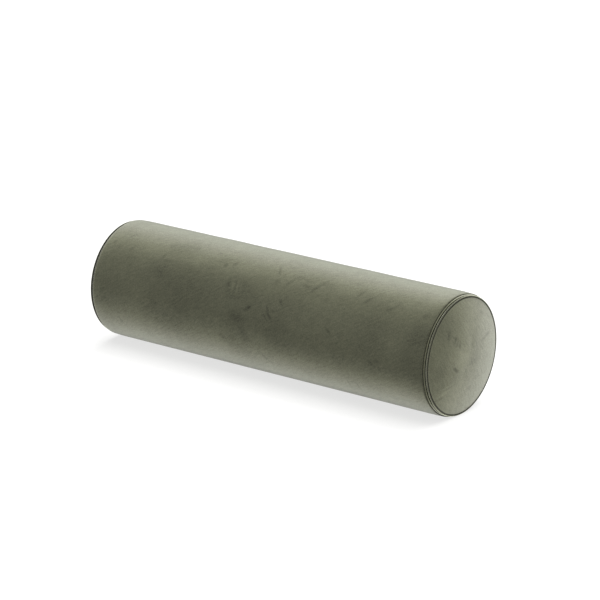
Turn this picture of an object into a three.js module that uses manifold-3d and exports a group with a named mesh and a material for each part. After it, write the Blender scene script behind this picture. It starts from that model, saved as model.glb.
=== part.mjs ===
// A round velvet bolster that lies on its side, as it rests on a sofa or a bed.
//
// Millimetres. The origin is on the surface that it lies on, under its middle.
// +X runs along its length, +Y across it and +Z up.
//
// A maker cuts three pieces of velvet: one oblong, which is wrapped round the filling and
// closed lengthwise at the back, and two discs for the ends. A disc is sewn to the tube in a
// round seam, and a row of stitches on each side of that seam holds the turned edges down.
// So each rim has three fine grooves, outer stitch row, seam and inner stitch row, and the
// velvet swells between them into two narrow welts.
//
// The tube is one filled solid, with the crown that the filling gives its ends. Each disc
// is a sheet of cloth that lies on that crown. Tube and disc part at the seam's groove.

import * as THREE from "three";
import { mergeVertices } from "three/addons/utils/BufferGeometryUtils.js";
import Module from "manifold-3d";

// Driving dimensions.
const DIAMETER = 200;
const SEAM_TO_SEAM = 685.8; // along the axis, between the two round seams
const SEAM_RADIUS = 95.7; // at the bottom of the seam's groove
const OUTER_ROW_GAP = 4.5; // from the seam to the stitch row in the tube
const INNER_ROW_GAP = 3.1; // from the seam to the stitch row in the disc
const BAND_TILT = THREE.MathUtils.degToRad(25); // how far the rim leans in towards the end
const TUBE_WELT_RISE = 0.8; // how far the tube swells between its row and the seam
const DISC_WELT_RISE = 1.8; // how far the disc swells between the seam and its row
const SHOULDER_RISE = 1.8; // the tube's own edge, above the outer stitch row
const SHOULDER_LENGTH = 22; // along which the tube eases down to that edge
const SHOULDER_DROP = 0.6; // how far it eases down
const CROWN = 13; // how far a disc's middle stands out past its edge
const DISC_EDGE_ROUND = 1.4; // the disc's roll into the inner stitch row
const CLOTH = 2.5; // thickness of a disc's velvet with its backing
const SEAM_CLEARANCE = 0.3; // between the tube's cloth and a disc's, along the seam
const TURNED_EDGE = 6; // cloth of the disc that is turned in at the seam
const RESTING_SAG = 2; // how far the filling gives where the bolster lies
const CLOSING_SEAM_WIDTH = 2.4; // groove of the tube's lengthwise seam
const CLOSING_SEAM_TURN = THREE.MathUtils.degToRad(38); // from straight down to the back

// How finely the round shapes are cut.
const SIDES = 64;
const WELT_STEPS = 5;
const SHOULDER_STEPS = 3;
const EDGE_STEPS = 3;
const CROWN_STEPS = 6;
const INSIDE_STEPS = 3;

const radius = DIAMETER / 2;
const axisHeight = radius - RESTING_SAG;

// A profile is a list of points (x along the axis, y out from it), drawn for the end at +X.

// The rim's grooves lie on one slanting line through the seam.
const alongBand = new THREE.Vector2(Math.cos(BAND_TILT), -Math.sin(BAND_TILT));
const outOfBand = new THREE.Vector2(Math.sin(BAND_TILT), Math.cos(BAND_TILT));
const seam = new THREE.Vector2(SEAM_TO_SEAM / 2, SEAM_RADIUS);
const outerRow = seam.clone().addScaledVector(alongBand, -OUTER_ROW_GAP);
const innerRow = seam.clone().addScaledVector(alongBand, INNER_ROW_GAP);

// The swelling between two grooves, from the first to the last, both left out.
function welt(from, to, height) {
  const points = [];
  for (let i = 1; i < WELT_STEPS; i++) {
    const share = i / WELT_STEPS;
    const across = (1 - Math.cos(Math.PI * share)) / 2;
    const rise = height * Math.sin(Math.PI * share);
    points.push(from.clone().lerp(to, across).addScaledVector(outOfBand, rise));
  }
  return points;
}

// The tube from its straight run down to the outer stitch row.
function shoulder() {
  const edge = outerRow.clone().addScaledVector(outOfBand, SHOULDER_RISE);
  edge.x -= SHOULDER_RISE;
  const start = edge.x - SHOULDER_LENGTH;
  const points = [];
  for (let i = 0; i <= SHOULDER_STEPS; i++) {
    const share = i / SHOULDER_STEPS;
    const drop = SHOULDER_DROP * share ** 2;
    points.push(new THREE.Vector2(start + SHOULDER_LENGTH * share, radius - drop));
  }
  const lip = points[points.length - 1];
  for (let i = 1; i < EDGE_STEPS; i++) {
    const turn = ((Math.PI / 2) * i) / EDGE_STEPS;
    const x = lip.x + (outerRow.x - lip.x) * Math.sin(turn);
    const y = outerRow.y + (lip.y - outerRow.y) * Math.cos(turn);
    points.push(new THREE.Vector2(x, y));
  }
  return [...points, outerRow];
}

// Where the disc's crown starts, past the roll at its edge.
const discEdge = new THREE.Vector2(
  innerRow.x + DISC_EDGE_ROUND,
  innerRow.y - DISC_EDGE_ROUND,
);

// The disc's outer face along the axis, at a distance out from the axis.
function crownAt(out) {
  return discEdge.x + CROWN * (1 - (out / discEdge.y) ** 2);
}

// The crown from the given distance out down to the axis, set back under the cloth's face.
function crown(from, setBack, steps) {
  const points = [];
  for (let i = 0; i <= steps; i++) {
    const out = from * (1 - i / steps);
    points.push(new THREE.Vector2(crownAt(out) - setBack, out));
  }
  return points;
}

// The disc's roll from the inner stitch row out to its crown, both left out.
function discRoll() {
  const points = [];
  for (let i = 1; i < EDGE_STEPS; i++) {
    const turn = ((Math.PI / 2) * i) / EDGE_STEPS;
    const x = innerRow.x + DISC_EDGE_ROUND * Math.sin(turn);
    const y = discEdge.y + DISC_EDGE_ROUND * Math.cos(turn);
    points.push(new THREE.Vector2(x, y));
  }
  return points;
}

// Half of the tube, from the middle of its length to the axis at its crowned end.
function tubeHalf() {
  const turnedIn = new THREE.Vector2(seam.x, seam.y - TURNED_EDGE);
  return [
    ...shoulder(),
    ...welt(outerRow, seam, TUBE_WELT_RISE),
    seam,
    turnedIn,
    ...crown(turnedIn.y - CLOTH, CLOTH + SEAM_CLEARANCE, INSIDE_STEPS),
  ];
}

function tubeProfile() {
  const half = tubeHalf();
  const mirrored = half.map((p) => new THREE.Vector2(-p.x, p.y)).reverse();
  return [...mirrored, ...half];
}

// The cut edge of the disc, from the inside of its crown round to its outer face.
function discProfile() {
  const seamFace = new THREE.Vector2(seam.x + SEAM_CLEARANCE, seam.y);
  const turnedIn = new THREE.Vector2(seamFace.x, seam.y - TURNED_EDGE);
  const inside = crown(turnedIn.y - CLOTH, CLOTH, INSIDE_STEPS).reverse();
  return [
    ...inside,
    turnedIn,
    seamFace,
    ...welt(seamFace, innerRow, DISC_WELT_RISE),
    innerRow,
    ...discRoll(),
    ...crown(discEdge.y, 0, CROWN_STEPS),
  ];
}

// The same shape with its shared points merged.
function welded(geometry) {
  geometry.deleteAttribute("normal");
  geometry.deleteAttribute("uv");
  return mergeVertices(geometry, 1e-3);
}

// A profile turned round the bolster's axis, with the filling's give where it lies.
function turned(profile) {
  const points = profile.map((p) => new THREE.Vector2(Math.max(p.y, 0), p.x));
  const geometry = new THREE.LatheGeometry(points, SIDES);
  geometry.rotateZ(-Math.PI / 2);
  geometry.translate(0, 0, axisHeight);
  const place = geometry.getAttribute("position");
  for (let i = 0; i < place.count; i++) {
    place.setZ(i, Math.max(place.getZ(i), 0));
  }
  return welded(geometry);
}

const wasm = await Module();
wasm.setup();

function solidOf(geometry) {
  return new wasm.Manifold(
    new wasm.Mesh({
      numProp: 3,
      vertProperties: geometry.getAttribute("position").array,
      triVerts: new Uint32Array(geometry.index.array),
    }),
  );
}

function geometryOf(solid) {
  const mesh = solid.getMesh();
  const geometry = new THREE.BufferGeometry();
  geometry.setAttribute("position", new THREE.BufferAttribute(mesh.vertProperties, 3));
  geometry.setIndex(new THREE.BufferAttribute(mesh.triVerts, 1));
  geometry.computeVertexNormals();
  return geometry;
}

// The groove of the tube's lengthwise seam: a square bar set corner down into its surface.
function closingSeam() {
  const side = CLOSING_SEAM_WIDTH / Math.SQRT2;
  const bar = new THREE.BoxGeometry(SEAM_TO_SEAM, side, side);
  bar.rotateX(Math.PI / 4);
  bar.translate(0, 0, -radius);
  bar.rotateX(CLOSING_SEAM_TURN);
  bar.translate(0, 0, axisHeight);
  return welded(bar);
}

const velvet = new THREE.MeshStandardMaterial({
  color: 0x6d6e5f,
  roughness: 0.9,
  metalness: 0,
});
const discVelvet = velvet.clone();

function tube() {
  const whole = solidOf(turned(tubeProfile()));
  const grooved = whole.subtract(solidOf(closingSeam()));
  const mesh = new THREE.Mesh(geometryOf(grooved), velvet);
  mesh.name = "filled_tube";
  return mesh;
}

// The disc for one end: 1 for the end at +X and -1 for the one at -X.
function disc(name, end) {
  const geometry = turned(discProfile());
  if (end < 0) {
    geometry.rotateZ(Math.PI);
  }
  geometry.computeVertexNormals();
  const mesh = new THREE.Mesh(geometry, discVelvet);
  mesh.name = name;
  return mesh;
}

const bolster = new THREE.Group();
bolster.add(tube(), disc("end_disc_right", 1), disc("end_disc_left", -1));

export default bolster;
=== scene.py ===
# %% [markdown]
# A round velvet bolster
#
# This lesson dresses the construction model of a round bolster: a tube of velvet packed with
# fibre, closed at each end by a sewn-in disc. The construction model, the frame, has the true
# sizes, so everything here is worked out from it, in metres, with the same origin: on the
# floor, under the middle of the bolster, with +X along its length and +Z up.

# %% Load the frame
import math

import bpy
import numpy as np
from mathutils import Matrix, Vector


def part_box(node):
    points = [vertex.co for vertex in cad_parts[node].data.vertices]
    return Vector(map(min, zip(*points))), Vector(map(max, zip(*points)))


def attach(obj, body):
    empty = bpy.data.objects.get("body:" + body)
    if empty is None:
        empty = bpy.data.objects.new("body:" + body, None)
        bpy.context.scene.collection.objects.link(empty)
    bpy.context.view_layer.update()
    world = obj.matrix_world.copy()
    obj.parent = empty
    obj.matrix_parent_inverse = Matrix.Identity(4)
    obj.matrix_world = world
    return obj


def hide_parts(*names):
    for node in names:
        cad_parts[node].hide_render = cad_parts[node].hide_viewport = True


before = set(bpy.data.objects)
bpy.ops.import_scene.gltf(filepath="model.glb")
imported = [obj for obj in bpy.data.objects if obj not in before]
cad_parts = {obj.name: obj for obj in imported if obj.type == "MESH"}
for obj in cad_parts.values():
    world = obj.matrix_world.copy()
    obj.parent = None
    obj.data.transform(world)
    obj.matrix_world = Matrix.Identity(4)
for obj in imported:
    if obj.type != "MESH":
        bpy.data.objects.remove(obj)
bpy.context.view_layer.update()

MM = 0.001
print("frame nodes:", sorted(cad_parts))

# %% [markdown]
# The camera comes first. A long lens from almost five metres away gives the flat, calm
# perspective of a catalogue picture. It stands to the right of the bolster and a little above
# it, and it looks a touch past the bolster's middle, so that the bolster sits left of centre.

# %% Camera
tube_low, tube_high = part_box("filled_tube")
RADIUS = (tube_high.y - tube_low.y) / 2
AXIS_HEIGHT = tube_high.z - RADIUS
MIDDLE = Vector((0.0, 0.0, AXIS_HEIGHT))

CAMERA_TURN = math.radians(37.75)  # round from the front, towards the right-hand end
CAMERA_RISE = math.radians(18.05)
CAMERA_DISTANCE = 4.839
CAMERA_LENS = 177.1  # mm, on a sensor 36 mm wide
AIM_TURN = math.radians(0.242)  # past the middle, to the right
AIM_RISE = math.radians(0.282)  # past the middle, upwards


def direction(turn, rise):
    """The unit vector from the bolster towards a place round it, from the front, and above it."""
    return Vector((
        math.sin(turn) * math.cos(rise),
        -math.cos(turn) * math.cos(rise),
        math.sin(rise),
    ))


camera_data = bpy.data.cameras.new("camera")
camera_data.lens = CAMERA_LENS
camera_data.sensor_width = 36.0
camera_data.clip_end = 100.0
camera = bpy.data.objects.new("camera", camera_data)
bpy.context.scene.collection.objects.link(camera)
camera.location = MIDDLE + direction(CAMERA_TURN, CAMERA_RISE) * CAMERA_DISTANCE
camera.rotation_mode = "QUATERNION"
aim = -direction(CAMERA_TURN - AIM_TURN, CAMERA_RISE - AIM_RISE)
camera.rotation_quaternion = aim.to_track_quat("-Z", "Y")
bpy.context.scene.camera = camera
print("camera at", [round(c, 3) for c in camera.location])

# %% [markdown]
# Four materials follow, so three small helpers come before them: one adds a node and links it
# in the same line, one turns an sRGB colour into the linear values that Blender works with, and
# one opens an empty material.

# %% Helpers for materials


def add_node(tree, kind, inputs=None, **settings):
    """Add a node. Each input gets a value, or a link where the value is another socket."""
    made = tree.nodes.new(kind)
    for name, value in settings.items():
        setattr(made, name, value)
    for name, value in (inputs or {}).items():
        if isinstance(value, bpy.types.NodeSocket):
            tree.links.new(value, made.inputs[name])
        else:
            made.inputs[name].default_value = value
    return made


def srgb(code):
    """A linear colour with alpha from an sRGB hex value such as "8c8f7a"."""
    parts = [int(code[i:i + 2], 16) / 255 for i in (0, 2, 4)]
    return (*[p / 12.92 if p <= 0.04045 else ((p + 0.055) / 1.055) ** 2.4 for p in parts], 1.0)


def new_material(name):
    """An empty material, with its node tree and its output node."""
    material = bpy.data.materials.new(name)
    material.use_nodes = True
    tree = material.node_tree
    tree.nodes.clear()
    return material, tree, add_node(tree, "ShaderNodeOutputMaterial")


print("a mid grey in linear light:", round(srgb("808080")[0], 3))

# %% [markdown]
# A soft white studio. The whole room glows evenly, as in a white light tent, and a few very
# large soft boxes add shape: one overhead, one high behind, and one beyond the bolster's
# right-hand end. A sun lamp with a wide angle is such a box, so far away that it lights the
# whole floor alike. Standard view colours keep the velvet's own tones, where a film-like curve
# would grey them.

# %% Light
ROOM_GLOW = 0.28
SOFT_BOXES = [
    # name, turn and rise in degrees, width in degrees, strength
    ("overhead", 0.0, 90.0, 60.0, 2.15),
    ("high_behind", 180.0, 60.0, 50.0, 1.33),
    ("high_right", 90.0, 45.0, 50.0, 0.62),
]
LAMP_DISTANCE = 2.0  # a sun lamp lights alike from any distance, so this only keeps it in sight

scene = bpy.context.scene
scene.view_settings.view_transform = "Standard"
scene.view_settings.look = "None"

room = bpy.data.worlds.new("white_room")
room.use_nodes = True
room.node_tree.nodes["Background"].inputs["Color"].default_value = (1.0, 1.0, 1.0, 1.0)
room.node_tree.nodes["Background"].inputs["Strength"].default_value = ROOM_GLOW
scene.world = room

for name, turn, rise, width, strength in SOFT_BOXES:
    light = bpy.data.lights.new(name, "SUN")
    light.angle = math.radians(width)
    light.energy = strength
    lamp = bpy.data.objects.new(name, light)
    scene.collection.objects.link(lamp)
    towards = direction(math.radians(turn), math.radians(rise))
    lamp.location = MIDDLE + towards * LAMP_DISTANCE
    lamp.rotation_mode = "QUATERNION"
    lamp.rotation_quaternion = (-towards).to_track_quat("-Z", "Y")
print("room glow", ROOM_GLOW, "and", len(SOFT_BOXES), "soft boxes")

# %% [markdown]
# The floor is a white acrylic table that is lit from below, as goods are often photographed on.
# Milky acrylic lets most of the light through, so it gives back only a third of what falls on
# it from above. Its own glow takes the weight out of the shadow and lights the bolster's belly.

# %% Floor
FLOOR_SIDE = 60.0
TABLE_GLOW = 0.7

floor_mesh = bpy.data.meshes.new("floor")
half = FLOOR_SIDE / 2
floor_mesh.from_pydata(
    [(-half, -half, 0.0), (half, -half, 0.0), (half, half, 0.0), (-half, half, 0.0)],
    [],
    [(0, 1, 2, 3)],
)
floor = bpy.data.objects.new("floor", floor_mesh)
scene.collection.objects.link(floor)
acrylic, tree, output = new_material("matt white acrylic, lit from below")
sheet = add_node(tree, "ShaderNodeBsdfPrincipled", {
    "Base Color": srgb("a0a09f"),
    "Roughness": 0.9,
    "Specular IOR Level": 0.1,
    "Emission Color": (1.0, 1.0, 1.0, 1.0),
    "Emission Strength": TABLE_GLOW,
})
tree.links.new(sheet.outputs[0], output.inputs["Surface"])
floor_mesh.materials.append(acrylic)
print("floor of", FLOOR_SIDE, "m, glow", TABLE_GLOW)

# %% [markdown]
# The outline of the cover. On the real bolster the tube runs straight, eases down over a soft
# shoulder, and meets the end disc in a round seam. The turned edges under the cloth are held
# down by a row of stitches on each side of that seam. So the rim has three fine grooves, and
# the velvet swells between them into two narrow welts. The inner row draws the disc's edge in,
# which leaves the welt beside it standing proud, like a thin piping. A round thing like this is
# best described by one profile, a list of points (x along the axis, r out from it), which is
# then turned round the axis.

# %% The profile of tube and disc
disc_low, disc_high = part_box("end_disc_right")
SEAM_CLEARANCE = 0.3 * MM
SEAM_X = disc_low.x - SEAM_CLEARANCE
APEX_X = disc_high.x
SEAM_RADIUS = 95.7 * MM
OUTER_ROW_GAP = 4.3 * MM  # from the seam to the stitch row in the tube
INNER_ROW_GAP = 2.7 * MM  # from the seam to the stitch row in the disc
INNER_ROW_DEPTH = 0.8 * MM  # how far that row draws the disc's edge in
BAND_TILT = math.radians(25)  # how far the rim leans in towards the end
TUBE_WELT_RISE = 0.8 * MM
DISC_WELT_RISE = 2.7 * MM
SHOULDER_RISE = 1.8 * MM
SHOULDER_LENGTH = 22.0 * MM
SHOULDER_DROP = 0.6 * MM
DISC_EDGE_ROUND = 1.2 * MM
CLOTH = 2.5 * MM
TURNED_EDGE = 6.0 * MM
FINE_STEP = 2.4 * MM  # between rings where the cloth is plain
HIDDEN_STEP = 12.0 * MM  # between rings where the cloth doesn't show
WELT_STEPS = 10
LIP_STEPS = 7
EDGE_STEPS = 6
MIRRORED = np.array([-1.0, 1.0])  # turns the right end's points into the left end's

along_band = np.array([math.cos(BAND_TILT), -math.sin(BAND_TILT)])
out_of_band = np.array([math.sin(BAND_TILT), math.cos(BAND_TILT)])
seam = np.array([SEAM_X, SEAM_RADIUS])
outer_row = seam - along_band * OUTER_ROW_GAP
inner_row = seam + along_band * INNER_ROW_GAP - out_of_band * INNER_ROW_DEPTH
disc_edge = inner_row + np.array([DISC_EDGE_ROUND, -DISC_EDGE_ROUND])
CROWN = APEX_X - disc_edge[0]


def shares(count, first=True, last=True):
    """Even steps from 0 to 1, with or without the two ends."""
    steps = np.linspace(0.0, 1.0, count + 1)
    start = 0 if first else 1
    stop = count + 1 if last else count
    return steps[start:stop]


def welt(start, end, rise):
    """The cloth's swelling between two grooves, the grooves themselves left out."""
    t = shares(WELT_STEPS, first=False, last=False)[:, None]
    across = (1 - np.cos(np.pi * t)) / 2
    return start + (end - start) * across + out_of_band * rise * np.sin(np.pi * t)


def crown_at(out):
    """How far along the axis the disc's face lies at a distance out from the axis."""
    return disc_edge[0] + CROWN * (1 - (out / disc_edge[1]) ** 2)


def crown(start, set_back, step):
    """The disc's face from a distance out down to the axis, moved back under its surface."""
    out = start * (1 - shares(max(2, round(start / step))))
    return np.stack([crown_at(out) - set_back, out], axis=1)


def tube_half(step):
    """Half of the tube: its straight run, shoulder, groove, welt and the turned edge."""
    lip = outer_row + out_of_band * SHOULDER_RISE - np.array([SHOULDER_RISE, 0.0])
    start = lip[0] - SHOULDER_LENGTH
    straight = shares(round(start / step), last=False) * start
    run = np.stack([straight, np.full(len(straight), RADIUS)], axis=1)
    t = shares(max(3, round(SHOULDER_LENGTH / step)))
    ease = np.stack([start + SHOULDER_LENGTH * t, RADIUS - SHOULDER_DROP * t ** 2], axis=1)
    turn = shares(LIP_STEPS, first=False, last=False) * np.pi / 2
    lip_r = ease[-1, 1]
    roll = np.stack([
        lip[0] + (outer_row[0] - lip[0]) * np.sin(turn),
        outer_row[1] + (lip_r - outer_row[1]) * np.cos(turn),
    ], axis=1)
    turned_in = seam - np.array([0.0, TURNED_EDGE])
    under = crown(turned_in[1] - CLOTH, CLOTH + SEAM_CLEARANCE, HIDDEN_STEP)
    swell = welt(outer_row, seam, TUBE_WELT_RISE)
    return np.vstack([run, ease, roll, outer_row, swell, seam, turned_in, under])


def tube_profile(step):
    """The whole tube, from the axis at one end to the axis at the other."""
    half_tube = tube_half(step)
    return np.vstack([half_tube[:0:-1] * MIRRORED, half_tube])


def disc_profile(step):
    """The disc, from the axis out inside its crown, round its edge and in over its face."""
    seam_face = seam + np.array([SEAM_CLEARANCE, 0.0])
    turned_in = seam_face - np.array([0.0, TURNED_EDGE])
    turn = shares(EDGE_STEPS, first=False, last=False) * np.pi / 2
    roll = np.stack([
        inner_row[0] + DISC_EDGE_ROUND * np.sin(turn),
        disc_edge[1] + DISC_EDGE_ROUND * np.cos(turn),
    ], axis=1)
    inside = crown(turned_in[1] - CLOTH, CLOTH, HIDDEN_STEP)[::-1]
    face = crown(disc_edge[1], 0.0, step)
    swell = welt(seam_face, inner_row, DISC_WELT_RISE)
    return np.vstack([inside, turned_in, seam_face, swell, inner_row, roll, face])


print("seam at x", round(SEAM_X / MM, 2), "mm; crown", round(CROWN / MM, 2), "mm")
print("profile points:", len(tube_profile(FINE_STEP)), len(disc_profile(FINE_STEP)))

# %% [markdown]
# Turning the profile. A Spin or Screw modifier could turn it, but the cover needs its rings and
# columns in a known order, because the nap and the cloth's give are laid over it afterwards. So
# the points are placed directly: rings along the profile, columns round it. The first column is
# the tube's lengthwise closing seam, at the back on the underside. The filling gives a little
# where the bolster lies, so its lowest points are eased up to the floor, without a hard edge.
# Hand-fed sewing is never quite square either: the left end is a hair short, mostly at the top.

# %% Rings and columns
COLUMNS = 256
LOWEST_TURN = 270  # degrees round the axis from the back, over the top and down the front
SEAM_PAST_LOWEST = 38  # degrees, towards the back
CLOSING_SEAM_TURN = math.radians(LOWEST_TURN + SEAM_PAST_LOWEST)
EASE = 0.8 * MM  # how softly the underside meets the floor
FAR_END_PULL = 0.6 * MM  # how much the left end is short
FAR_END_LEAN = 0.9 * MM  # how much more it is so at the top, and less at the bottom
FAR_END_FADE = 3  # the higher this power, the nearer to that end the cloth is drawn short


def column_turns(beside_seam=()):
    """The columns' turns round the axis from the closing seam, with extra ones beside it."""
    turns = np.arange(COLUMNS) * 2 * np.pi / COLUMNS
    beside = np.array(beside_seam) / RADIUS
    return np.concatenate([turns[:1], beside, turns[1:], 2 * np.pi - beside[::-1]])


def eased_to_floor(z):
    """Heights with the part below the floor pressed up to it."""
    deepest = AXIS_HEIGHT - RADIUS
    pressed = (z + np.sqrt(z ** 2 + EASE ** 2)) / 2
    return pressed - (deepest + math.sqrt(deepest ** 2 + EASE ** 2)) / 2


def ring_places(profile, turns):
    """Where each column meets each ring, as an array of rings by columns by x, y, z."""
    angle = CLOSING_SEAM_TURN + turns[None, :]
    out = profile[:, 1, None]
    height = eased_to_floor(out * np.sin(angle) + AXIS_HEIGHT)
    nearness = np.clip(-profile[:, :1] / SEAM_X, 0, None) ** FAR_END_FADE
    pulled = nearness * (FAR_END_PULL + FAR_END_LEAN * np.sin(angle) * out / RADIUS)
    return np.stack([profile[:, :1] + pulled, out * np.cos(angle), height], axis=-1)


def cover_mesh(name, places, flat):
    """A closed mesh from ring places whose first and last rings are poles on the axis.

    flat holds each point's place on the flat cloth, with one more column for the way round.
    """
    rings, columns = places.shape[:2]
    rings -= 2
    points = np.vstack([places[0, :1], places[1:-1].reshape(-1, 3), places[-1, :1]])
    here = np.arange(columns)
    after = (here + 1) % columns
    first = 1 + np.arange(rings - 1)[:, None] * columns
    a, b = first + here, first + after
    quads = np.stack([a, b, b + columns, a + columns], axis=-1).reshape(-1, 4)
    last = 1 + (rings - 1) * columns
    start = np.stack([here * 0, 1 + after, 1 + here], axis=1)
    finish = np.stack([here * 0 + len(points) - 1, last + here, last + after], axis=1)
    mesh = bpy.data.meshes.new(name)
    mesh.from_pydata(points.tolist(), [], start.tolist() + quads.tolist() + finish.tolist())
    inner, outer = flat[1:-2], flat[2:-1]
    corner_flat = np.concatenate([
        np.stack([flat[0, :-1], flat[1, 1:], flat[1, :-1]], axis=1).reshape(-1, 2),
        np.stack([inner[:, :-1], inner[:, 1:], outer[:, 1:], outer[:, :-1]], axis=2).reshape(-1, 2),
        np.stack([flat[-1, :-1], flat[-2, :-1], flat[-2, 1:]], axis=1).reshape(-1, 2),
    ])
    layer = mesh.uv_layers.new(name="cloth")
    layer.data.foreach_set("uv", corner_flat.astype(np.float32).ravel())
    mesh.shade_smooth()
    mesh.validate()
    return mesh


def add_piece(name, mesh):
    """A piece at the origin, with its place in its mesh."""
    piece = bpy.data.objects.new(name, mesh)
    scene.collection.objects.link(piece)
    return piece


# %% [markdown]
# The filling presses on the cloth, and Blender's cloth solver shows how the cover gives. A
# coarse copy of the whole cover is held at both rims and blown up from inside, without gravity.
# Fibre is never packed quite evenly, so the copy starts a little lumpy. A firm bolster is almost
# perfectly round, so only a fraction of a millimetre of what comes out is kept.

# %% Let the filling press on the cloth
COARSE_STEP = 9 * MM
COARSE_COLUMNS = 72
PRESSURE = 4.0
PRESSED_FRAMES = 20
LUMP_RISE = 0.8 * MM
LUMP_SEED = 7
LUMP_WAVES = 14  # added up
LUMP_LENGTH = 90 * MM  # of the shortest wave along the tube
LUMPS_ROUND = 7  # the most that lie round the tube in one wave
LUMP_SPREAD = 3.0  # the sum of the waves, divided by this, stays between about -1 and 1
GIVE_KEPT = 0.15  # the share of the solver's movement that is carried over
MOST_GIVE = 0.25 * MM  # the cap on how far a point of the fine cover may move


def coarse_outline():
    """The rings of the coarse cover, and for each whether the sewn rim holds it."""
    out = disc_edge[1] * (1 - shares(round(disc_edge[1] / COARSE_STEP)))
    face = np.stack([crown_at(out), out], axis=1)
    along = shares(round(2 * outer_row[0] / COARSE_STEP), first=False, last=False)
    x = outer_row[0] * (2 * along - 1)
    middle = np.stack([x, np.full(len(x), RADIUS)], axis=1)
    right = np.vstack([outer_row, seam, inner_row, face])
    left = right[::-1] * MIRRORED
    rings = np.vstack([left, middle, right])
    out_enough = rings[:, 1] > disc_edge[1] - COARSE_STEP / 2
    return rings, out_enough & (rings[:, 1] < RADIUS)


def lumps(rings, turns):
    """A smooth, seeded unevenness for the coarse cover, between about -1 and 1."""
    rng = np.random.default_rng(LUMP_SEED)
    uneven = np.zeros((len(rings), len(turns)))
    for _ in range(LUMP_WAVES):
        waves_round = rng.integers(1, LUMPS_ROUND + 1)
        wave_along = rng.uniform(-1, 1) * 2 * np.pi / LUMP_LENGTH
        phase = rng.uniform(0, 2 * np.pi)
        wave = np.cos(rings[:, :1] * wave_along + turns * waves_round + phase)
        uneven += wave / LUMP_SPREAD
    return uneven


def pressed_cover():
    """How far each point of the coarse cover gives outwards: its rings, and rings by columns."""
    rings, held = coarse_outline()
    turns = np.arange(COARSE_COLUMNS) * 2 * np.pi / COARSE_COLUMNS
    on_face = np.abs(rings[:, 0]) > disc_edge[0]
    even = ring_places(rings, turns)
    outward = even * np.array([0.0, 1.0, 1.0]) - np.array([0.0, 0.0, AXIS_HEIGHT])
    outward /= np.maximum(np.linalg.norm(outward, axis=-1, keepdims=True), MM)
    outward[on_face] = np.sign(rings[on_face, :1])[:, None] * np.array([1.0, 0.0, 0.0])
    uneven = lumps(rings, turns) * LUMP_RISE * ~held[:, None]
    uneven[[0, -1]] = 0.0
    start = even + outward * uneven[..., None]
    wrapped = np.concatenate([start, start[:, :1]], axis=1)
    cover = add_piece("coarse_cover", cover_mesh("coarse_cover", start, wrapped[..., :2]))
    rim = cover.vertex_groups.new(name="rim")
    first = 1 + (np.flatnonzero(held) - 1)[:, None] * COARSE_COLUMNS
    rim.add((first + np.arange(COARSE_COLUMNS)).ravel().tolist(), 1.0, "REPLACE")
    cloth = cover.modifiers.new("filling", "CLOTH")
    cloth.settings.use_pressure = True
    cloth.settings.uniform_pressure_force = PRESSURE
    cloth.settings.vertex_group_mass = rim.name
    cloth.settings.effector_weights.gravity = 0.0
    cloth.point_cache.frame_end = PRESSED_FRAMES
    for number in range(1, PRESSED_FRAMES + 1):
        scene.frame_set(number)
    pressed = cover.evaluated_get(bpy.context.evaluated_depsgraph_get()).data
    places = np.empty(len(pressed.vertices) * 3)
    pressed.vertices.foreach_get("co", places)
    places = places.reshape(-1, 3)
    bpy.data.objects.remove(cover)
    scene.frame_set(1)
    give = np.zeros(even.shape[:2])
    moved = places[1:-1].reshape(even[1:-1].shape) - even[1:-1]
    give[1:-1] = (moved * outward[1:-1]).sum(axis=-1)
    give[0], give[-1] = give[1].mean(), give[-2].mean()
    for part in (on_face & (rings[:, 0] < 0), ~on_face, on_face & (rings[:, 0] > 0)):
        give[part] -= give[part].mean()
    print("the solver moved the cover by", (np.abs(give).max() / MM).round(2), "mm at most")
    return rings, MOST_GIVE * np.tanh(GIVE_KEPT * give / MOST_GIVE)


def carried_over(give, at, to, turns):
    """The coarse give read at fine rings and columns. at holds the coarse rings, in order."""
    wrapped = np.concatenate([give, give[:, :1]], axis=1)
    coarse_turns = np.linspace(0, 2 * np.pi, COARSE_COLUMNS + 1)
    by_column = np.array([np.interp(turns, coarse_turns, row) for row in wrapped])
    return np.array([np.interp(to, at, column) for column in by_column.T]).T


give_rings, give = pressed_cover()

# %% [markdown]
# The tube of velvet. Its lengthwise closing seam is a shallow groove, drawn by three extra
# columns on each side of it. The give fades out towards the rims and where the bolster lies.

# %% The velvet tube
CLOSING_SEAM_DEPTH = 1.2 * MM
CLOSING_SEAM_HALF_WIDTH = 1.2 * MM
CLOSING_SEAM_COLUMNS = [0.4 * MM, 0.8 * MM, 1.3 * MM]
CLOSING_SEAM_STOP = 1.0 * MM  # short of the round seams
DIP_FADE = 0.8  # under 1, so that the groove is a little rounder than a V
GIVE_FADE = 25 * MM

tube_turns = column_turns(CLOSING_SEAM_COLUMNS)
tube_rings = tube_profile(FINE_STEP)
tube_places = ring_places(tube_rings, tube_turns)

from_seam = np.minimum(tube_turns, 2 * np.pi - tube_turns) * RADIUS
nearness = np.clip(1 - from_seam / CLOSING_SEAM_HALF_WIDTH, 0, 1)
dip = nearness ** DIP_FADE * CLOSING_SEAM_DEPTH
between_seams = np.abs(tube_rings[:, 0]) < SEAM_X - CLOSING_SEAM_STOP
inward = tube_places[..., 1:] - np.array([0.0, AXIS_HEIGHT])
length = np.maximum(np.linalg.norm(inward, axis=-1, keepdims=True), MM)
tube_places[..., 1:] -= inward / length * (dip[None, :, None] * between_seams[:, None, None])

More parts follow.
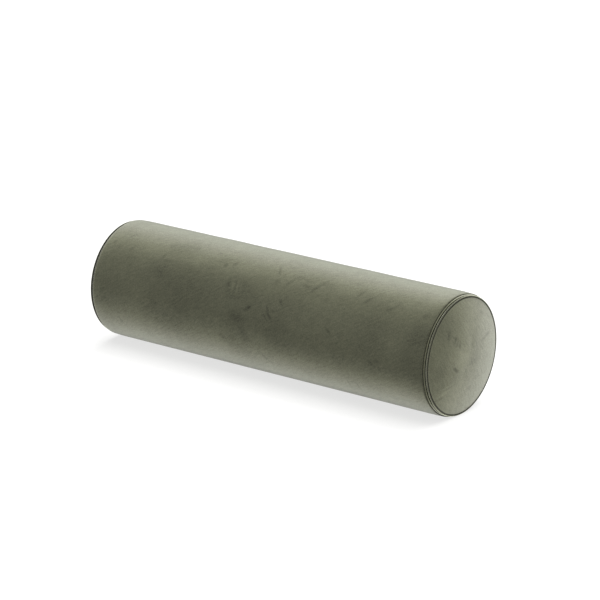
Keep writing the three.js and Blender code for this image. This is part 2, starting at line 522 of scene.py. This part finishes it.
on_tube = give_rings[:, 1] >= RADIUS
tube_give = carried_over(give[on_tube], give_rings[on_tube, 0], tube_rings[:, 0], tube_turns)
to_rim = np.clip((SEAM_X - np.abs(tube_rings[:, :1])) / GIVE_FADE, 0, 1)
off_floor = np.clip(tube_places[..., 2] / GIVE_FADE, 0, 1)
tube_give *= to_rim * off_floor * (tube_rings[:, 1:] > SEAM_RADIUS)
tube_places[..., 1:] += inward / length * tube_give[..., None]

round_way = np.append(tube_turns, 2 * np.pi) * RADIUS
tube_flat = np.stack(np.broadcast_arrays(round_way[None, :], tube_rings[:, :1]), axis=-1)
tube_mesh = cover_mesh("velvet_tube", tube_places, tube_flat)
velvet_tube = add_piece("velvet_tube", tube_mesh)
print("velvet tube:", len(tube_mesh.vertices), "points,", len(tube_mesh.polygons), "faces")

# %% [markdown]
# The two end discs. Each is a round of velvet with its edge turned in, and the filling bows
# it out into a low crown. The left one is the right one's mirror image, with its rings in the
# opposite order, which keeps its faces outwards. The give fades out towards the rim, and towards
# the middle as well, where all the columns meet in one point.

# %% The velvet end discs
disc_turns = column_turns()
disc_rings = disc_profile(FINE_STEP)
velvet_discs = []
for end, name in [(1, "velvet_disc_right"), (-1, "velvet_disc_left")]:
    rings = disc_rings if end > 0 else disc_rings[::-1] * MIRRORED
    places = ring_places(rings, disc_turns)
    facing = give_rings[:, 0] * end > disc_edge[0]
    out, order = give_rings[facing, 1], slice(None, None, -end)
    disc_give = carried_over(give[facing][order], out[order], rings[:, 1], disc_turns)
    to_rim = np.clip((disc_edge[1] - rings[:, 1:]) / GIVE_FADE, 0, 1)
    to_middle = np.clip(rings[:, 1:] / GIVE_FADE, 0, 1) ** 2
    places[..., 0] += end * disc_give * to_rim * to_middle
    wrapped = np.concatenate([places, places[:, :1]], axis=1)
    flat = np.stack([wrapped[..., 1] * end + 1.0, wrapped[..., 2]], axis=-1)
    velvet_discs.append(add_piece(name, cover_mesh(name, places, flat)))
    print(name, "has", len(velvet_discs[-1].data.vertices), "points")

# %% [markdown]
# The nap. Wherever a hand, a fold or the packing has pushed the pile over, velvet keeps a mark:
# pile that leans towards the eye is darker, pile that leans away is paler. Broad marks have soft
# edges, and the strokes that fingers leave are short, narrow and firmer. Four long bands in the
# tube's table are painted light and shade, not nap: a paler band along the upper front where the
# light from above falls, a darker one across the front below it, and on the belly, which the
# floor lights from below, two long bands of painted shade that hold that light back. Each mark
# is one line in a table: where it is on the cloth, its half length and half width, how its
# length leans from the length of the tube, and how dark (below zero) or pale it is. All of them
# add up to one number for each point of the mesh, which the velvet's shader reads.

# %% Marks on the tube
TUBE_PATCHES = [
    # mm along the tube, degrees round it, half length and half width in mm, lean, strength
    # painted light: paler along the upper front, darker across the front below it
    (0, 132, 700, 22, 0, 0.060),
    (0, 185, 700, 40, 0, -0.045),
    (-345, 222, 34, 60, 0, -0.080),
    (345, 226, 30, 40, 0, -0.060),
    # painted shade on the belly, where the bolster nears the floor
    (0, 243, 700, 20, 0, -0.240),
    (0, 265, 700, 40, 0, -0.140),
    (-146, 152, 78, 36, 0, -0.050),
    (-207, 142, 18, 14, 20, -0.075),
    (-186, 116, 32, 12, -8, -0.060),
    (-172, 194, 28, 18, 0, -0.060),
    (-40, 146, 32, 20, 0, -0.075),
    (-30, 171, 16, 10, 15, -0.110),
    (-14, 187, 20, 8, 62, -0.080),
    (143, 157, 50, 38, 0, 0.050),
    (283, 165, 18, 30, 0, 0.055),
    (325, 149, 22, 20, 0, -0.110),
    (324, 178, 20, 30, 0, -0.060),
    (-244, 178, 22, 22, 0, 0.050),
    (-68, 187, 22, 15, 10, 0.055),
    (-38, 124, 38, 9, 0, 0.030),
    (-152, 128, 28, 7, -6, 0.040),
    (-30, 205, 36, 14, 0, -0.030),
    (60, 178, 40, 24, 10, -0.020),
    (232, 160, 24, 30, 0, -0.025),
    (-300, 150, 26, 26, 0, 0.015),
    (-208, 227, 16, 9, 0, -0.050),
]
TUBE_STROKES = [
    (-51, 144, 11, 2.4, 82, 0.110),
    (-42, 144, 13, 2.0, 80, 0.110),
    (-34, 145, 11, 1.8, 78, 0.070),
    (-62, 141, 9, 3.0, 84, -0.090),
    (-46, 142, 10, 1.5, 84, -0.060),
    (-9, 160, 7, 2.4, -38, -0.180),
    (-17, 163, 4, 2.0, 0, -0.100),
    (29, 157, 6, 2.0, 50, -0.130),
    (35, 163, 8, 2.2, 40, -0.150),
    (27, 165, 6, 1.8, 42, -0.120),
    (41, 158, 3, 2.0, 0, -0.130),
    (51, 148, 8, 2.6, 48, -0.100),
    (19, 117, 10, 2.6, 62, -0.110),
    (27, 129, 5, 3.4, -40, -0.120),
    (51, 127, 10, 2.6, -52, -0.120),
    (62, 119, 9, 2.6, -22, -0.080),
    (75, 120, 12, 2.2, 12, -0.060),
    (84, 127, 12, 3.0, 8, -0.090),
    (102, 128, 11, 2.8, -56, -0.130),
    (112, 119, 9, 2.2, -50, -0.070),
    (126, 121, 16, 5.0, 6, -0.040),
    (187, 122, 12, 2.4, -66, -0.120),
    (206, 127, 8, 3.6, -58, -0.120),
    (214, 122, 12, 2.0, -55, -0.070),
    (232, 128, 9, 2.0, -48, -0.060),
    (251, 131, 7, 3.2, -30, -0.100),
    (260, 127, 8, 2.0, -52, -0.070),
    (318, 130, 5, 3.4, -60, -0.100),
    (154, 164, 8, 2.4, 40, -0.110),
    (240, 184, 6, 2.8, 35, -0.090),
    (250, 181, 5, 3.4, 0, -0.080),
    (257, 188, 6, 2.4, 60, -0.090),
    (-60, 194, 8, 4.5, 30, -0.090),
    (-39, 193, 6, 5.0, 0, -0.080),
    (20, 206, 12, 2.2, 52, -0.080),
    (31, 211, 10, 1.8, 52, -0.060),
    (186, 214, 13, 2.2, 78, -0.070),
    (204, 215, 12, 2.0, 80, -0.070),
    (96, 209, 10, 2.2, 60, -0.050),
    (-296, 113, 9, 1.6, -60, -0.090),
    (-281, 130, 7, 2.4, -60, -0.080),
    (-306, 131, 6, 2.2, -56, -0.070),
    (-322, 127, 4, 4.0, 0, -0.080),
    (-330, 131, 5, 2.0, -60, -0.060),
    (-210, 130, 6, 2.0, -62, -0.140),
    (-85, 124, 4, 3.2, 0, -0.110),
    (-69, 121, 6, 3.2, -60, -0.080),
    (-52, 117, 9, 2.4, -50, -0.050),
    (-90, 118, 14, 2.2, -20, -0.040),
    (-186, 133, 22, 3.0, -4, -0.050),
    (-284, 205, 9, 2.2, 70, -0.070),
    (-292, 212, 8, 2.0, 66, -0.050),
]
print("marks on the tube:", len(TUBE_PATCHES), "broad and", len(TUBE_STROKES), "narrow")

# %% [markdown]
# The discs carry marks as well: a few prints of fingers, and broad shades where the pile was
# stroked one way or the other. Both discs are laid out from their own middle, so one pair of
# tables does for both ends.

# %% Marks on the discs
DISC_PATCHES = [
    # mm to the back, mm up, half length and half width in mm, lean from level, strength
    (0, 0, 300, 300, 0, 0.040),
    (78, 0, 50, 120, 0, -0.050),
    (-18, 30, 22, 60, 0, 0.030),
    (0, -86, 60, 22, 0, 0.040),
    (-21, 6, 19, 17, 0, 0.080),
    (14, 6, 36, 11, 84, -0.055),
    (-71, -10, 15, 14, 0, -0.085),
    (-6, -25, 12, 14, 0, -0.050),
    (-58, -34, 26, 8, 12, -0.050),
    (-76, 26, 14, 28, 10, 0.050),
    (-32, 62, 30, 16, 0, -0.030),
    (62, 30, 22, 34, 0, 0.020),
    (-20, -62, 30, 18, 0, 0.030),
]
DISC_STROKES = [
    (-47, 47, 9, 3.2, 70, -0.120),
    (-34, 37, 7, 2.6, 60, -0.150),
    (-31, 30, 6, 2.4, 48, -0.130),
    (-39, 43, 5, 2.2, -40, -0.110),
    (-24, 27, 6, 2.6, 66, -0.120),
    (-34, -12, 8, 2.8, -40, -0.200),
    (46, 21, 12, 2.4, 14, -0.090),
    (62, 23, 7, 3.4, -8, -0.090),
    (-52, -36, 14, 1.6, 12, 0.080),
    (-50, -42, 14, 1.6, 14, 0.080),
    (-60, -48, 14, 2.2, 16, 0.090),
    (-46, -39, 13, 1.4, 12, -0.060),
    (-66, -53, 13, 3.0, 10, -0.080),
    (24, -38, 13, 3.0, 16, -0.050),
    (6, -52, 6, 4.0, 0, -0.060),
    (14, -8, 20, 3.0, 10, -0.050),
    (44, 62, 9, 3.6, -30, -0.050),
]
print("marks on a disc:", len(DISC_PATCHES), "broad and", len(DISC_STROKES), "narrow")

# %% [markdown]
# Two helpers lay a table of marks on the cloth and keep the result. Each mark is strongest in
# its middle and fades at its edge. The result is one number for each point of a mesh.

# %% Helpers for the nap
MARK_FIRMNESS = 1.5  # the higher, the firmer a mark's edge
STROKE_SHARE = 1.35  # how many times their tables' strength the narrow strokes get
WELT_LIGHT_FADE = 1.0 * MM  # the way over which a welt takes its painted light and shade


def laid(marks, along, across, way_round=None):
    """The marks' strengths at places on the cloth, in mm, each mark fading at its edge."""
    nap_and_painted_light = np.zeros(np.broadcast(along, across).shape)
    for a, c, half_length, half_width, lean, strength in marks:
        d_along, d_across = along - a, across - c
        if way_round:
            d_across = (d_across + way_round / 2) % way_round - way_round / 2
        turn = math.radians(lean)
        u = (d_along * math.cos(turn) + d_across * math.sin(turn)) / half_length
        v = (d_across * math.cos(turn) - d_along * math.sin(turn)) / half_width
        nap_and_painted_light += strength * np.exp(-(u ** 2 + v ** 2) ** MARK_FIRMNESS)
    return nap_and_painted_light


def store(mesh, name, grid):
    """Keep one number for each point of a cover: a pole takes the first of its ring."""
    values = np.concatenate([grid[0, :1], grid[1:-1].ravel(), grid[-1, :1]])
    layer = mesh.attributes.new(name, "FLOAT", "POINT")
    layer.data.foreach_set("value", values.astype(np.float32))


half_way = math.exp(-0.25 ** MARK_FIRMNESS)
print("half way to its edge, a mark keeps", round(half_way, 2), "of its strength")

# %% [markdown]
# The back and the underside get marks of the same kind, scattered by a seeded generator, so that
# the bolster looks used alike from all sides, and the same each time.

# %% Marks on the back
NAP_SEED = 20
BACK_START, BACK_END = 245, 442  # degrees round the tube, over the underside and the back
BACK_REACH = 325  # mm to each side of the bolster's middle
STROKE_LEANS = [-55, 50, 70]
LEAN_SPREAD = 15
# How many, then the ranges of half length, half width and strength, and whether they lean.
BACK_PATCHES = (26, (15, 60), (10, 32), (-0.08, 0.06), False)
BACK_STROKES = (60, (5, 12), (1.8, 3.2), (-0.14, -0.05), True)


def scattered(rng, count, half_lengths, half_widths, strengths, leaning):
    """Marks scattered over the tube's back, as lines of a table like the ones above."""
    marks = []
    for _ in range(count):
        along = rng.uniform(-BACK_REACH, BACK_REACH)
        turn = rng.uniform(BACK_START, BACK_END) % 360
        lean = rng.choice(STROKE_LEANS) + rng.uniform(-LEAN_SPREAD, LEAN_SPREAD)
        half_length = rng.uniform(*half_lengths)
        half_width = rng.uniform(*half_widths)
        strength = rng.uniform(*strengths)
        marks.append((along, turn, half_length, half_width, lean * leaning, strength))
    return marks


rng = np.random.default_rng(NAP_SEED)
patches = TUBE_PATCHES + scattered(rng, *BACK_PATCHES)
strokes = TUBE_STROKES + scattered(rng, *BACK_STROKES)
print("with the back's own:", len(patches), "broad and", len(strokes), "narrow marks")

# %% [markdown]
# The rims get their own tones, which are painted light and shade. Each welt is painted paler
# where its ridge would catch the light and darker where it would lie in shade, and the cloth
# beside the outer row gets painted shade from its groove at one end and a painted highlight
# along the tube's lip at the other. The two ends lie differently to the light, so what is
# painted pale at one end is dark at the other, and each pair of values below is for the right
# end and then the left. The welts and the inner row are painted paler at two opposite places,
# near the top and the bottom, where more light from above and from the glowing floor reaches
# into the grooves.

# %% Lay the nap and the painted light on the tube
# painted shade beside the outer row at the right end, a painted highlight on the lip at the left
TUBE_ROW_PAINTED_LIGHT = (-0.07, 0.20)  # beside the outer stitch row
TUBE_ROW_REACH = (4.0 * MM, 2.2 * MM)
TUBE_WELT_PAINTED_LIGHT = (0.20, -0.28)
GROOVE_LIGHT_TURN = math.radians(63)  # round from the back, over the top
GROOVE_LIGHT_FADE = 10  # the higher this power, the narrower the two paler places
GROOVE_LIGHT_ON_WELT = 0.10


def painted_groove_light(turns):
    """How much painted light reaches the grooves at each column, from 0 to 1, as one row of an
    array.
    """
    return np.cos(CLOSING_SEAM_TURN + turns - GROOVE_LIGHT_TURN)[None, :] ** GROOVE_LIGHT_FADE


mm_per_degree = math.pi * RADIUS / MM / 180
whole_way = 360 * mm_per_degree
along = tube_rings[:, :1] / MM
across = np.degrees(CLOSING_SEAM_TURN + tube_turns)[None, :] * mm_per_degree
tube_nap_and_light = 0
for marks, share in [(patches, 1.0), (strokes, STROKE_SHARE)]:
    placed = [(m[0], m[1] * mm_per_degree, *m[2:]) for m in marks]
    tube_nap_and_light = tube_nap_and_light + share * laid(placed, along, across, whole_way)
past_row = np.abs(tube_rings[:, :1]) - outer_row[0]
on_welt = np.clip(past_row / WELT_LIGHT_FADE, 0, 1)
for side, row_painted_light, reach, welt_painted_light in zip((1, -1), TUBE_ROW_PAINTED_LIGHT, TUBE_ROW_REACH, TUBE_WELT_PAINTED_LIGHT):
    beside_row = np.exp(-(past_row / reach) ** 2) * (past_row < 0)
    # right end: painted shade beside the row and a painted highlight on the welt; left end: the
    # reverse
    rim_painted_light = row_painted_light * beside_row + welt_painted_light * on_welt
    tube_nap_and_light = tube_nap_and_light + rim_painted_light * (tube_rings[:, :1] * side > 0)
# painted light: the welts paler near the top and the bottom
tube_nap_and_light = tube_nap_and_light + GROOVE_LIGHT_ON_WELT * painted_groove_light(tube_turns) * on_welt
store(tube_mesh, "nap_and_painted_light", tube_nap_and_light)
print("nap on the tube from", tube_nap_and_light.min().round(2), "to", tube_nap_and_light.max().round(2))

# %% [markdown]
# The discs take their marks from their own middle outwards, and then the painted light and
# shade of their rims: a painted highlight on the right disc's welt, painted shade on the left
# one's, and painted shade beside the inner row, whose groove is painted paler near the top and
# the bottom.

# %% Lay the nap and the painted light on the discs
DISC_WELT_PAINTED_LIGHT = (0.32, -0.08)
DISC_ROW_PAINTED_SHADE = -0.03
DISC_ROW_REACH = 4.0 * MM
GROOVE_LIGHT_IN_ROW = 1.25
GROOVE_LIGHT_REACH = 0.8 * MM

for disc, rings, welt_painted_light in zip(velvet_discs, (disc_rings, disc_rings[::-1]), DISC_WELT_PAINTED_LIGHT):
    angle = CLOSING_SEAM_TURN + disc_turns[None, :]
    back, up = rings[:, 1:] / MM * np.cos(angle), rings[:, 1:] / MM * np.sin(angle)
    nap_and_painted_light = laid(DISC_PATCHES, back, up) + STROKE_SHARE * laid(DISC_STROKES, back, up)
    inside_row = np.abs(rings[:, :1]) - inner_row[0]
    from_edge = np.maximum(disc_edge[1] - rings[:, 1:], 0)
    beside_row = np.exp(-(from_edge / DISC_ROW_REACH) ** 2) * (inside_row >= 0)
    on_welt = np.clip(-inside_row / WELT_LIGHT_FADE, 0, 1)
    in_row = np.clip(1 - np.abs(inside_row) / GROOVE_LIGHT_REACH, 0, 1)
    # painted shade beside the inner row; the welt's painted highlight at the right end, painted
    # shade at the left
    nap_and_painted_light = nap_and_painted_light + DISC_ROW_PAINTED_SHADE * beside_row + welt_painted_light * on_welt
    # painted light: the inner row's groove paler near the top and the bottom
    nap_and_painted_light = nap_and_painted_light + GROOVE_LIGHT_IN_ROW * painted_groove_light(disc_turns) * in_row
    store(disc.data, "nap_and_painted_light", nap_and_painted_light)
    print("nap on", disc.name, "from", nap_and_painted_light.min().round(2), "to", nap_and_painted_light.max().round(2))

# %% [markdown]
# The colour of velvet. Cut-pile velvet is woven with a short upright pile of fine fibres. Seen
# face on, the eye looks down into the pile, which is dark. Seen at a glancing angle it meets the
# sides of the fibres, which catch the light, so every round form has a pale, soft rim. Most of
# that rim is a painted sheen: a base colour that gets paler where the cloth turns away from the
# eye, and a little darker again right at its edge. The nap attribute makes the base darker or
# paler, with real marks of the pile and with the painted light and shade of the rims and the
# belly, and three noises add what is too fine to draw by hand: slow clouds, short slanting
# streaks that the pile's own lean gives, and the grain of its tufts.

# %% The colour of the pile, with its painted sheen
PILE_AND_SHEEN_COLOURS = [
    # how far the cloth has turned away from the eye, from 0 face on to 1 edge on, and its colour,
    # with the painted sheen in it
    (0.13, "565747"),
    (0.28, "585948"),
    (0.41, "727361"),
    (0.57, "878879"),
    (0.74, "909283"),
    (0.84, "8a8d7e"),
    (0.93, "7f8273"),
]
CLOUD_SIZE = 55 * MM
STREAK_LENGTH = 14 * MM
STREAK_WIDTH = 3.2 * MM
STREAK_LEAN = math.radians(58)
TUFT_SIZE = 1.7 * MM  # real tufts are under 1 mm apart, too fine to show in the picture
# How strongly each of them shows in the colour.
SEE_CLOUDS = 0.38
SEE_STREAKS = 0.58
SEE_TUFTS = 0.95
SEE_NAP_AND_LIGHT = 2.0


def velvet_base(tree):
    """The colour of the pile with its painted sheen, and the height of its tufts, as two sockets.
    """
    turning_away = add_node(tree, "ShaderNodeLayerWeight", {"Blend": 0.5})
    pile_and_sheen_colour = add_node(tree, "ShaderNodeValToRGB", {"Fac": turning_away.outputs["Facing"]})
    ramp = pile_and_sheen_colour.color_ramp
    ramp.interpolation = "CARDINAL"
    while len(ramp.elements) < len(PILE_AND_SHEEN_COLOURS):
        ramp.elements.new(0.5)
    for stop, (position, code) in zip(ramp.elements, PILE_AND_SHEEN_COLOURS):
        stop.position = position
        stop.color = srgb(code)
    cloth = add_node(tree, "ShaderNodeUVMap", uv_map="cloth")
    lean = add_node(tree, "ShaderNodeMapping", {
        "Vector": cloth.outputs["UV"],
        "Rotation": (0.0, 0.0, STREAK_LEAN),
    })
    stretch = add_node(tree, "ShaderNodeMapping", {
        "Vector": lean.outputs["Vector"],
        "Scale": (1 / STREAK_LENGTH, 1 / STREAK_WIDTH, 1.0),
    })
    streaks = add_node(tree, "ShaderNodeTexNoise", {
        "Vector": stretch.outputs["Vector"],
        "Scale": 1.0,
        "Detail": 2.0,
    })
    place = add_node(tree, "ShaderNodeTexCoord")
    clouds = add_node(tree, "ShaderNodeTexNoise", {
        "Vector": place.outputs["Object"],
        "Scale": 1 / CLOUD_SIZE,
        "Detail": 5.0,
        "Roughness": 0.68,
    })
    tufts = add_node(tree, "ShaderNodeTexNoise", {
        "Vector": place.outputs["Object"],
        "Scale": 1 / TUFT_SIZE,
        "Detail": 1.0,
    })
    # the nap attribute holds real marks of the pile and the painted light and shade of rims and
    # belly
    marks = add_node(tree, "ShaderNodeAttribute", attribute_name="nap_and_painted_light")
    level = 1.0 - (SEE_CLOUDS + SEE_STREAKS + SEE_TUFTS) / 2
    parts = [
        (marks.outputs["Fac"], SEE_NAP_AND_LIGHT),
        (clouds.outputs["Fac"], SEE_CLOUDS),
        (streaks.outputs["Fac"], SEE_STREAKS),
        (tufts.outputs["Fac"], SEE_TUFTS),
    ]
    for socket, share in parts:
        level = add_node(tree, "ShaderNodeMath", {0: socket, 1: share, 2: level},
                         operation="MULTIPLY_ADD").outputs[0]
    shaded = add_node(tree, "ShaderNodeVectorMath", {
        "Vector": pile_and_sheen_colour.outputs["Color"],
        "Scale": level,
    }, operation="SCALE")
    return shaded.outputs["Vector"], tufts.outputs["Fac"]


print("colours of the pile, from face on to edge on:", [code for _, code in PILE_AND_SHEEN_COLOURS])

# %% [markdown]
# The velvet itself. It is matt, because short upright fibres scatter the light, and its sheen
# gives the rest of the pale rim, in a faintly yellow white. The tufts raise it by less than half
# a millimetre, which gives the eye its soft, granular surface.

# %% The velvet material
TUFT_HEIGHT = 0.4 * MM

velvet, tree, output = new_material("cut-pile velvet")
colour, tufts = velvet_base(tree)
relief = add_node(tree, "ShaderNodeBump", {
    "Strength": 0.35,
    "Distance": TUFT_HEIGHT,
    "Height": tufts,
})
pile = add_node(tree, "ShaderNodeBsdfPrincipled", {
    "Base Color": colour,
    "Roughness": 0.95,
    "Specular IOR Level": 0.1,
    "Sheen Weight": 0.7,
    "Sheen Roughness": 0.4,
    "Sheen Tint": (1.0, 1.0, 0.92, 1.0),
    "Normal": relief.outputs["Normal"],
})
tree.links.new(pile.outputs[0], output.inputs["Surface"])
print(velvet.name, "has", len(tree.nodes), "nodes")

# %% [markdown]
# In the seam and under the stitches the pile is pinched together, and the grooves get painted
# shade: the same velvet, its colour cut to a fraction, with hardly any sheen, and unevenly,
# because no two folds are pinched alike.

# %% The velvet with painted shade in the grooves
# painted shade: the grooves keep this share of the open velvet's colour
GROOVE_SHADE_SHARE = 0.15  # of the light that the open velvet gives back
FOLD_SIZE = 2.0 * MM

groove_shaded_velvet, tree, output = new_material("velvet with painted shade in the seam")
colour, _ = velvet_base(tree)
place = add_node(tree, "ShaderNodeTexCoord")
fold = add_node(tree, "ShaderNodeTexNoise", {
    "Vector": place.outputs["Object"],
    "Scale": 1 / FOLD_SIZE,
    "Detail": 1.0,
})
depth = add_node(tree, "ShaderNodeMapRange", {
    "Value": fold.outputs["Fac"],
    "From Min": 0.3,
    "From Max": 0.7,
    "To Min": 0.7 * GROOVE_SHADE_SHARE,
    "To Max": 1.3 * GROOVE_SHADE_SHARE,
})
shade = add_node(tree, "ShaderNodeVectorMath", {
    "Vector": colour,
    "Scale": depth.outputs["Result"],
}, operation="SCALE")
groove_shade_bsdf = add_node(tree, "ShaderNodeBsdfPrincipled", {
    "Base Color": shade.outputs["Vector"],
    "Roughness": 0.95,
    "Specular IOR Level": 0.05,
    "Sheen Weight": 0.12,
    "Sheen Roughness": 0.5,
    "Sheen Tint": (1.0, 1.0, 0.9, 1.0),
})
tree.links.new(groove_shade_bsdf.outputs[0], output.inputs["Surface"])
print(groove_shaded_velvet.name, "has", len(tree.nodes), "nodes")

# %% [markdown]
# Which faces lie in a groove is told from how far along the rim's band they are, and from their
# height above it, because what stands higher is open welt. Those faces get the velvet with
# painted shade.

# %% Give the faces their velvet
GROOVES = [
    # where a groove lies along the band, how far its painted shade reaches towards the tube and
    # towards the disc
    (-OUTER_ROW_GAP, 0.5 * MM, 0.7 * MM),
    (0.0, 1.2 * MM, 0.5 * MM),
    (INNER_ROW_GAP, 1.4 * MM, 0.8 * MM),
]
GROOVE_HEIGHT = 1.6 * MM


def in_groove(rings):
    """For each gap between two rings, whether it lies in one of the rim's grooves."""
    middle = (rings[1:] + rings[:-1]) / 2
    middle[:, 0] = np.abs(middle[:, 0])
    across_band = (middle - seam) @ along_band
    above_band = (middle - seam) @ out_of_band
    near = [(across_band > row - back) & (across_band < row + on) for row, back, on in GROOVES]
    return np.any(near, axis=0) & (above_band < GROOVE_HEIGHT)


for piece, rings, columns in [
    (velvet_tube, tube_rings, len(tube_turns)),
    (velvet_discs[0], disc_rings, COLUMNS),
    (velvet_discs[1], disc_rings[::-1], COLUMNS),
]:
    piece.data.materials.append(velvet)
    piece.data.materials.append(groove_shaded_velvet)
    which = np.repeat(in_groove(rings), columns).astype(np.int32)
    piece.data.polygons.foreach_set("material_index", which)
    print(piece.name, "has", int(which.sum()), "faces in its grooves")

# %% [markdown]
# The thread is spun polyester in the cloth's own colour, a shade darker so that it sinks into
# the pile. It is matt, and its twisted plies give it a fine change of tone along its length.

# %% The thread
THREAD = srgb("35362a")
PLY_SIZE = 0.8 * MM

thread, tree, output = new_material("matt polyester thread")
place = add_node(tree, "ShaderNodeTexCoord")
plies = add_node(tree, "ShaderNodeTexNoise", {
    "Vector": place.outputs["Object"],
    "Scale": 1 / PLY_SIZE,
    "Detail": 1.0,
})
tone = add_node(tree, "ShaderNodeMapRange", {
    "Value": plies.outputs["Fac"],
    "To Min": 0.7,
    "To Max": 1.3,
})
twist = add_node(tree, "ShaderNodeVectorMath", {
    "Vector": THREAD[:3],
    "Scale": tone.outputs["Result"],
}, operation="SCALE")
strand = add_node(tree, "ShaderNodeBsdfPrincipled", {
    "Base Color": twist.outputs["Vector"],
    "Roughness": 0.6,
    "Specular IOR Level": 0.3,
    "Sheen Weight": 0.1,
})
tree.links.new(strand.outputs[0], output.inputs["Surface"])
print(thread.name, "has", len(tree.nodes), "nodes")

# %% [markdown]
# A machine sews two rows on each rim, one on each side of the seam, with a stitch about 3 mm
# long every 4 mm. They are all alike and follow four circles, which is work for Geometry Nodes.
# First the four rows are drawn as curves, a little above the bottoms of their grooves. They go
# through the same function as the cloth, so they lie on it wherever it gives to the floor.

# %% The rows that the stitches follow
STITCH_RISE = 0.35 * MM  # of the thread's middle above the groove's bottom

row_curve = bpy.data.curves.new("stitch_rows", "CURVE")
row_curve.dimensions = "3D"
for end in (-1, 1):
    for row in (outer_row, inner_row):
        middle = (row + out_of_band * STITCH_RISE) * np.array([end, 1.0])
        points = ring_places(middle[None, :], disc_turns)[0]
        spline = row_curve.splines.new("POLY")
        spline.points.add(len(points) - 1)
        spline.points.foreach_set("co", np.column_stack([points, np.ones(len(points))]).ravel())
        spline.use_cyclic_u = True
stitch_rows = bpy.data.objects.new("stitch_rows", row_curve)
scene.collection.objects.link(stitch_rows)
print("stitch rows:", len(row_curve.splines))

# %% [markdown]
# The tree spreads points along the rows at the stitch pitch and sets one small spindle of
# thread on each, in line with its row. A little seeded variation in length and lean keeps the
# stitches from looking printed. The real sizes are the tree's inputs, so it can sew any cushion.

# %% The stitch tree
SPINDLE_SEGMENTS = 6
SPINDLE_RINGS = 5
LEAN_SEED = 3
LENGTH_SEED = 11
SHORTEST, LONGEST = 0.88, 1.08  # of a stitch's length

sewing = bpy.data.node_groups.new("stitches along rows", "GeometryNodeTree")
for name, kind, way in [
    ("Geometry", "NodeSocketGeometry", "INPUT"),
    ("Stitch pitch", "NodeSocketFloat", "INPUT"),
    ("Stitch length", "NodeSocketFloat", "INPUT"),
    ("Thread width", "NodeSocketFloat", "INPUT"),
    ("Lean", "NodeSocketFloat", "INPUT"),
    ("Geometry", "NodeSocketGeometry", "OUTPUT"),
]:
    sewing.interface.new_socket(name, in_out=way, socket_type=kind)
given = add_node(sewing, "NodeGroupInput").outputs
spots = add_node(sewing, "GeometryNodeCurveToPoints", {
    "Curve": given["Geometry"],
    "Length": given["Stitch pitch"],
}, mode="LENGTH")
spindle = add_node(sewing, "GeometryNodeMeshUVSphere", {
    "Segments": SPINDLE_SEGMENTS,
    "Rings": SPINDLE_RINGS,
    "Radius": 0.5,
})
size = add_node(sewing, "ShaderNodeCombineXYZ", {
    "X": given["Stitch length"],
    "Y": given["Thread width"],
    "Z": given["Thread width"],
})
along_row = add_node(sewing, "FunctionNodeAlignRotationToVector", {
    "Vector": spots.outputs["Tangent"],
}, axis="X")
less_lean = add_node(sewing, "ShaderNodeMath", {0: given["Lean"], 1: -1.0}, operation="MULTIPLY")
lean = add_node(sewing, "FunctionNodeRandomValue", {
    2: less_lean.outputs[0],
    3: given["Lean"],
    "Seed": LEAN_SEED,
})
swing = add_node(sewing, "ShaderNodeCombineXYZ", {"Y": lean.outputs[1], "Z": lean.outputs[1]})
swung = add_node(sewing, "FunctionNodeRotateRotation", {
    "Rotation": along_row.outputs["Rotation"],
    "Rotate By": swing.outputs["Vector"],
}, rotation_space="LOCAL")
drawn = add_node(sewing, "FunctionNodeRandomValue", {
    2: SHORTEST,
    3: LONGEST,
    "Seed": LENGTH_SEED,
})
scaled = add_node(sewing, "ShaderNodeVectorMath", {
    "Vector": size.outputs["Vector"],
    "Scale": drawn.outputs[1],
}, operation="SCALE")
sewn = add_node(sewing, "GeometryNodeInstanceOnPoints", {
    "Points": spots.outputs["Points"],
    "Instance": spindle.outputs["Mesh"],
    "Rotation": swung.outputs["Rotation"],
    "Scale": scaled.outputs["Vector"],
})
real = add_node(sewing, "GeometryNodeRealizeInstances", {"Geometry": sewn.outputs["Instances"]})
smooth = add_node(sewing, "GeometryNodeSetShadeSmooth", {"Geometry": real.outputs["Geometry"]})
finished = add_node(sewing, "GeometryNodeSetMaterial", {
    "Geometry": smooth.outputs["Geometry"],
    "Material": thread,
})
add_node(sewing, "NodeGroupOutput", {"Geometry": finished.outputs["Geometry"]})
print("stitch tree:", len(sewing.nodes), "nodes")

# %% [markdown]
# The modifier's inputs are set by their identifiers before it first runs. Its result is then
# made a plain mesh, because an export keeps neither modifiers nor instances, and the curves have
# done their work and are removed.

# %% Sew the stitches
STITCH_PITCH = 3.9 * MM
STITCH_LENGTH = 2.9 * MM
THREAD_WIDTH = 0.6 * MM
STITCH_LEAN = math.radians(4)

sew = stitch_rows.modifiers.new("sew", "NODES")
sew.node_group = sewing
sizes_given = {
    "Stitch pitch": STITCH_PITCH,
    "Stitch length": STITCH_LENGTH,
    "Thread width": THREAD_WIDTH,
    "Lean": STITCH_LEAN,
}
for item in sewing.interface.items_tree:
    if item.item_type == "SOCKET" and item.name in sizes_given:
        sew[item.identifier] = sizes_given[item.name]
evaluated = stitch_rows.evaluated_get(bpy.context.evaluated_depsgraph_get())
stitch_mesh = bpy.data.meshes.new_from_object(evaluated)
stitch_rows.modifiers.remove(sew)
bpy.data.objects.remove(stitch_rows)
stitches = add_piece("rim_stitches", stitch_mesh)
faces_each = SPINDLE_SEGMENTS * SPINDLE_RINGS
print("stitches:", len(stitch_mesh.polygons) // faces_each, "of", faces_each, "faces each")

# %% [markdown]
# Last, each piece is tied to the construction model's root, and the frame part that it stands
# for is hidden. The stitches are tied to the root as well.

# %% Tie the pieces to the frame
for piece, node in zip([velvet_tube, *velvet_discs],
                       ["filled_tube", "end_disc_right", "end_disc_left"]):
    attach(piece, "root")
    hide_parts(node)

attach(stitches, "root")
